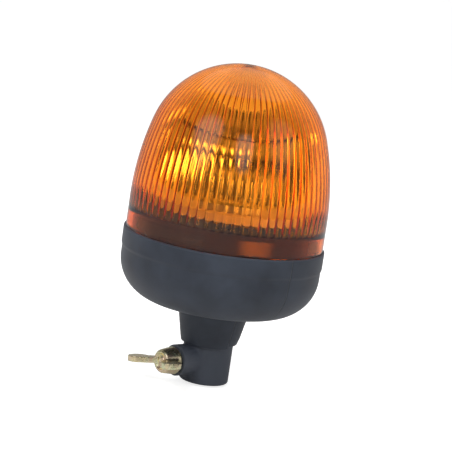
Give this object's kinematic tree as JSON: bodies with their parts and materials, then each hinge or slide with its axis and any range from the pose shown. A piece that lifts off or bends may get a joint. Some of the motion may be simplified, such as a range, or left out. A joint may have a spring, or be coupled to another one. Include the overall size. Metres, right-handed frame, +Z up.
{
  "type": "rotating beacon",
  "caption": "Rotating warning beacon: amber bayonet lens over a motor-driven reflector, on a rubber base with a pole socket and wing screw.",
  "frame": {"origin": "centre of the pole socket's mouth", "axes": "+Z up the beacon, wing screw along -X"},
  "size_m": [0.145, 0.145, 0.231],
  "materials": {
    "rubber": "matt",
    "holder_plastic": "fine grained",
    "zinc_steel": "zinc plated",
    "yellow_zinc": "yellow passivated",
    "brass": "turned",
    "bronze": "sintered",
    "insulator": "moulded",
    "chassis_plastic": "moulded",
    "spring_steel": "drawn",
    "motor_steel": "drawn and plated",
    "nylon": "moulded",
    "turntable_plastic": "moulded",
    "mirror": "vacuum coated",
    "rivet_metal": "as formed",
    "bulb_socket": "heat resistant moulding",
    "bulb_metal": "bright",
    "clear_glass": "clear",
    "tungsten": "bare wire",
    "lead_red": "insulation",
    "lead_black": "insulation",
    "amber_lens": "moulded, glossy outside"
  },
  "bodies": {
    "base": {"bulb_base": "bulb_metal", "bulb_clip": "spring_steel", "bulb_filament": "tungsten", "bulb_glass": "clear_glass", "bulb_holder": "bulb_socket", "chassis": "chassis_plastic", "chassis_screws": "zinc_steel", "contact_carrier": "insulator", "contact_spring": "spring_steel", "ground_strip": "brass", "idler_axle": "zinc_steel", "lead_bulb": "lead_red", "lead_ground": "lead_black", "lead_motor": "lead_red", "lens_seal": "rubber", "motor_case": "motor_steel", "motor_end_cap": "insulator", "motor_screws": "zinc_steel", "motor_tabs": "brass", "rubber_boot": "rubber", "screw_insert": "brass", "socket_sleeve": "zinc_steel", "supply_terminal": "brass", "thrust_washer": "zinc_steel", "tower_bush": "bronze", "tube_holder": "holder_plastic"},
    "rotor": {"rotor_gear": "nylon", "turntable": "turntable_plastic", "reflector": "mirror", "reflector_bracket": "motor_steel", "reflector_rivets": "rivet_metal", "bracket_screws": "zinc_steel", "counterweight": "zinc_steel"},
    "idler": {"idler_gear": "nylon"},
    "motor_rotor": {"motor_shaft": "zinc_steel", "motor_pinion": "brass"},
    "contact": {"contact_plunger": "brass"},
    "clamp_pad": {"thrust_pad": "brass"},
    "clamp_screw": {"wing_screw": "yellow_zinc"},
    "cover": {"lens": "amber_lens"}
  },
  "joints": [
    {"name": "rotor_spin", "type": "hinge", "parent": "base", "child": "rotor", "pos_m": [0, 0, 0.125], "axis": [0, 0, 1], "continuous": true},
    {"name": "idler_spin", "type": "hinge", "parent": "base", "child": "idler", "pos_m": [0.0296, 0, 0.12], "axis": [0, 0, 1], "continuous": true},
    {"name": "motor_spin", "type": "hinge", "parent": "base", "child": "motor_rotor", "pos_m": [0.0296, 0.018, 0.1], "axis": [0, 0, 1], "continuous": true},
    {"name": "contact_plunge", "type": "slide", "parent": "base", "child": "contact", "axis": [0, 0, 1], "range_m": [0, 0.003], "stiffness_N_per_m": 400, "deforming": ["contact_spring"]},
    {"name": "screw_feed", "type": "slide", "parent": "base", "child": "clamp_pad", "axis": [1, 0, 0], "range_m": [-0.006, 0.0012]},
    {"name": "wing_screw_turn", "type": "hinge", "parent": "clamp_pad", "child": "clamp_screw", "pos_m": [-0.03, 0, 0.0164], "axis": [1, 0, 0], "range_deg": [-1439, 287.5]},
    {"name": "lens_twist", "type": "hinge", "parent": "base", "child": "cover", "pos_m": [0, 0, 0.11], "axis": [0, 0, 1], "range_deg": [0, 28]}
  ],
  "couplings": [
    {"joint": "idler_spin", "follows": "rotor_spin", "ratio": -4.2857},
    {"joint": "motor_spin", "follows": "rotor_spin", "ratio": 17.143},
    {"joint": "screw_feed", "follows": "wing_screw_turn", "m_per_rad": 0.00023873}
  ]
}
